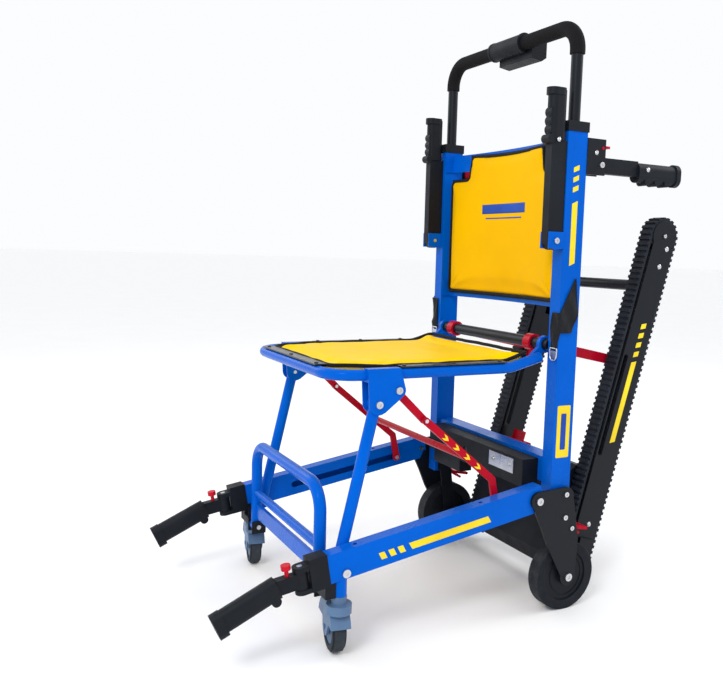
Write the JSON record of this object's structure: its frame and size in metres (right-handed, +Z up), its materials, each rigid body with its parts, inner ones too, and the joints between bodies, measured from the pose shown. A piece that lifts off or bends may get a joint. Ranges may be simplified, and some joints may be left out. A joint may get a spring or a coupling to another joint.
{
  "type": "stair chair",
  "caption": "Powered evacuation chair with a folding blue frame, yellow seat and backrest, driving stair tracks, wheels, casters, lifting handles, armrests and a height-adjustable push bar.",
  "frame": {"origin": "on the floor, at the centre of the bounding box at rest", "axes": "+Z up; -Y is the way the occupant faces; +X is the occupant's left"},
  "size_m": [0.6007, 1.1024, 1.2395],
  "materials": {
    "blue_frame": "glossy powder coat",
    "black_metal": "satin powder coat",
    "black_plastic": "fine grain moulding",
    "foam_grip": "soft foam skin",
    "yellow_vinyl": "coated fabric with a low sheen",
    "yellow_card": "glossy card",
    "zinc_steel": "zinc plated",
    "bright_aluminium": "brushed",
    "battery_cells": "matt sleeve",
    "white_label": "satin film",
    "cable_jacket": "smooth jacket",
    "black_webbing": "woven nylon",
    "wheel_rubber": "moulded tread",
    "belt_rubber": "moulded, slightly dusty",
    "display_glass": "dark window",
    "button_grey": "soft touch",
    "red_metal": "glossy powder coat",
    "red_plastic": "glossy moulding",
    "motor_grey": "cast and painted",
    "fork_grey": "satin blue-grey paint"
  },
  "bodies": {
    "frame": {"posts": "blue_frame", "post_caps": "black_plastic", "lower_crossbeam": "blue_frame", "back_bands": "blue_frame", "backrest_pad": "yellow_vinyl", "backrest_panel": "black_plastic", "guide_card": "yellow_card", "seat_pivot_tube": "black_metal", "side_plates": "black_metal", "frame_bolts": "zinc_steel", "handle_brackets": "black_metal", "battery_box": "black_plastic", "battery_pack": "battery_cells", "data_plate": "white_label", "drive_cable": "cable_jacket", "belt_straps": "black_webbing"},
    "wheel_left": {"wheel_left": "wheel_rubber"},
    "wheel_right": {"wheel_right": "wheel_rubber"},
    "push_bar": {"push_bar": "black_metal", "foam_sleeve": "foam_grip", "control_housing": "black_plastic", "control_display": "display_glass"},
    "button_up": {"button_up": "button_grey"},
    "button_down": {"button_down": "button_grey"},
    "release_bar": {"release_bar": "red_metal"},
    "rear_handle_left": {"rear_handle_left": "black_plastic"},
    "rear_handle_right": {"rear_handle_right": "black_plastic"},
    "rear_latch_left": {"rear_latch_left": "red_metal"},
    "rear_latch_right": {"rear_latch_right": "red_metal"},
    "armrest_left": {"armrest_left": "black_plastic"},
    "armrest_right": {"armrest_right": "black_plastic"},
    "tracks": {"track_frames": "black_metal", "track_belts": "belt_rubber", "drive_housing": "black_plastic", "gear_motor": "motor_grey"},
    "drive_shaft": {"drive_shaft": "zinc_steel"},
    "idlers": {"idlers": "bright_aluminium"},
    "track_stay": {"track_stay": "red_metal"},
    "release_pedal": {"release_pedal": "red_metal"},
    "brake_left": {"brake_left": "red_metal"},
    "brake_right": {"brake_right": "red_metal"},
    "seat": {"seat_frame": "blue_frame", "seat_pad": "yellow_vinyl", "seat_strips": "bright_aluminium", "seat_brackets": "blue_frame"},
    "legs": {"front_legs": "blue_frame"},
    "struts": {"struts": "red_metal", "strut_pins": "zinc_steel"},
    "rails": {"rails": "blue_frame", "rail_pins": "zinc_steel", "front_sockets": "black_plastic"},
    "footrest": {"footrest_hoop": "blue_frame"},
    "front_handle_left": {"front_handle_left": "black_plastic"},
    "front_handle_right": {"front_handle_right": "black_plastic"},
    "plunger_left": {"plunger_left": "red_plastic"},
    "plunger_right": {"plunger_right": "red_plastic"},
    "caster_left": {"caster_fork_left": "fork_grey"},
    "caster_right": {"caster_fork_right": "fork_grey"},
    "caster_wheel_left": {"caster_wheel_left": "wheel_rubber"},
    "caster_wheel_right": {"caster_wheel_right": "wheel_rubber"}
  },
  "joints": [
    {"name": "base_fold", "type": "hinge", "parent": "frame", "child": "rails", "pos_m": [0.03084, 0.13141, 0.2507], "axis": [-1, 0, 0], "range_deg": [0, 80]},
    {"name": "seat_fold", "type": "hinge", "parent": "frame", "child": "seat", "pos_m": [0.03084, 0.17441, 0.57], "axis": [-1, 0, 0], "range_deg": [0, 86]},
    {"name": "leg_fold", "type": "hinge", "parent": "seat", "child": "legs", "pos_m": [0.03084, -0.22959, 0.47], "axis": [-1, 0, 0], "range_deg": [-86, 0]},
    {"name": "strut_fold", "type": "hinge", "parent": "seat", "child": "struts", "pos_m": [0.03084, -0.18859, 0.495], "axis": [-1, 0, 0], "range_deg": [-34, 0]},
    {"name": "footrest_fold", "type": "hinge", "parent": "rails", "child": "footrest", "pos_m": [0.03084, -0.32459, 0.121], "axis": [-1, 0, 0], "range_deg": [-80.5, 0]},
    {"name": "push_bar_height", "type": "slide", "parent": "frame", "child": "push_bar", "axis": [0, 0, 1], "range_m": [-0.11, 0.09]},
    {"name": "button_up_press", "type": "slide", "parent": "push_bar", "child": "button_up", "axis": [0, 1, 0], "range_m": [-0.002, 0], "stiffness_N_per_m": 400},
    {"name": "button_down_press", "type": "slide", "parent": "push_bar", "child": "button_down", "axis": [0, 1, 0], "range_m": [-0.002, 0], "stiffness_N_per_m": 400},
    {"name": "release_bar_turn", "type": "hinge", "parent": "frame", "child": "release_bar", "pos_m": [0.03084, 0.23241, 0.944], "axis": [1, 0, 0], "range_deg": [-15, 0], "stiffness_Nm_per_rad": 2},
    {"name": "rear_handle_left_fold", "type": "hinge", "parent": "frame", "child": "rear_handle_left", "pos_m": [0.27084, 0.25641, 0.944], "axis": [1, 0, 0], "range_deg": [-90, 0]},
    {"name": "rear_latch_left_lift", "type": "hinge", "parent": "frame", "child": "rear_latch_left", "pos_m": [0.27084, 0.25841, 0.978], "axis": [-1, 0, 0], "range_deg": [-25, 0], "stiffness_Nm_per_rad": 0.3},
    {"name": "armrest_left_fold", "type": "hinge", "parent": "frame", "child": "armrest_left", "pos_m": [0.27134, 0.14841, 0.786], "axis": [-1, 0, 0], "range_deg": [-90, 0]},
    {"name": "wheel_left_spin", "type": "hinge", "parent": "frame", "child": "wheel_left", "pos_m": [0.27184, 0.21641, 0.075], "axis": [1, 0, 0], "continuous": true},
    {"name": "brake_left_press", "type": "hinge", "parent": "frame", "child": "brake_left", "pos_m": [0.26984, 0.22041, 0.182], "axis": [1, 0, 0], "range_deg": [-30, 0]},
    {"name": "front_handle_left_fold", "type": "hinge", "parent": "rails", "child": "front_handle_left", "pos_m": [0.27484, -0.38379, 0.1667], "axis": [0, -0.1609, 0.987], "range_deg": [-90, 0]},
    {"name": "plunger_left_press", "type": "slide", "parent": "front_handle_left", "child": "plunger_left", "axis": [0, -0.1609, 0.987], "range_m": [-0.004, 0], "stiffness_N_per_m": 500},
    {"name": "caster_left_swivel", "type": "hinge", "parent": "rails", "child": "caster_left", "pos_m": [0.27484, -0.30759, 0.115], "axis": [0, 0, 1], "continuous": true},
    {"name": "caster_wheel_left_spin", "type": "hinge", "parent": "caster_left", "child": "caster_wheel_left", "pos_m": [0.24333, -0.30203, 0.048], "axis": [0.1736, 0.9848, 0], "continuous": true},
    {"name": "rear_handle_right_fold", "type": "hinge", "parent": "frame", "child": "rear_handle_right", "pos_m": [-0.20916, 0.25641, 0.944], "axis": [1, 0, 0], "range_deg": [-90, 0]},
    {"name": "rear_latch_right_lift", "type": "hinge", "parent": "frame", "child": "rear_latch_right", "pos_m": [-0.20916, 0.25841, 0.978], "axis": [-1, 0, 0], "range_deg": [-25, 0], "stiffness_Nm_per_rad": 0.3},
    {"name": "armrest_right_fold", "type": "hinge", "parent": "frame", "child": "armrest_right", "pos_m": [-0.20966, 0.14841, 0.786], "axis": [-1, 0, 0], "range_deg": [-90, 0]},
    {"name": "wheel_right_spin", "type": "hinge", "parent": "frame", "child": "wheel_right", "pos_m": [-0.21016, 0.21641, 0.075], "axis": [1, 0, 0], "continuous": true},
    {"name": "brake_right_press", "type": "hinge", "parent": "frame", "child": "brake_right", "pos_m": [-0.20816, 0.22041, 0.182], "axis": [1, 0, 0], "range_deg": [-30, 0]},
    {"name": "front_handle_right_fold", "type": "hinge", "parent": "rails", "child": "front_handle_right", "pos_m": [-0.21316, -0.38379, 0.1667], "axis": [0, 0.1609, -0.987], "range_deg": [-90, 0]},
    {"name": "plunger_right_press", "type": "slide", "parent": "front_handle_right", "child": "plunger_right", "axis": [0, -0.1609, 0.987], "range_m": [-0.004, 0], "stiffness_N_per_m": 500},
    {"name": "caster_right_swivel", "type": "hinge", "parent": "rails", "child": "caster_right", "pos_m": [-0.21316, -0.30759, 0.115], "axis": [0, 0, 1], "continuous": true},
    {"name": "caster_wheel_right_spin", "type": "hinge", "parent": "caster_right", "child": "caster_wheel_right", "pos_m": [-0.24467, -0.30203, 0.048], "axis": [0.1736, 0.9848, 0], "continuous": true},
    {"name": "track_fold", "type": "hinge", "parent": "frame", "child": "tracks", "pos_m": [0.03084, 0.21641, 0.075], "axis": [-1, 0, 0], "range_deg": [-15, 0], "deforming": ["drive_cable"]},
    {"name": "track_stay_fold", "type": "hinge", "parent": "frame", "child": "track_stay", "pos_m": [0.03084, 0.17441, 0.57], "axis": [1, 0, 0], "range_deg": [-51.5, 0]},
    {"name": "drive_shaft_spin", "type": "hinge", "parent": "tracks", "child": "drive_shaft", "pos_m": [0.03084, 0.29841, 0.067], "axis": [1, 0, 0], "continuous": true},
    {"name": "idler_spin", "type": "hinge", "parent": "tracks", "child": "idlers", "pos_m": [0.03084, 0.50807, 0.80791], "axis": [1, 0, 0], "continuous": true},
    {"name": "release_pedal_lift", "type": "hinge", "parent": "tracks", "child": "release_pedal", "pos_m": [0.03084, 0.35419, 0.27881], "axis": [1, 0, 0], "range_deg": [-20, 0], "stiffness_Nm_per_rad": 0.5}
  ],
  "couplings": [
    {"joint": "seat_fold", "follows": "base_fold", "ratio": 1.0713},
    {"joint": "leg_fold", "follows": "base_fold", "ratio": -1.0713},
    {"joint": "strut_fold", "follows": "base_fold", "ratio": -0.4188},
    {"joint": "footrest_fold", "follows": "base_fold", "ratio": -1},
    {"joint": "track_stay_fold", "follows": "track_fold", "ratio": 3.418},
    {"joint": "idler_spin", "follows": "drive_shaft_spin", "ratio": 1}
  ]
}
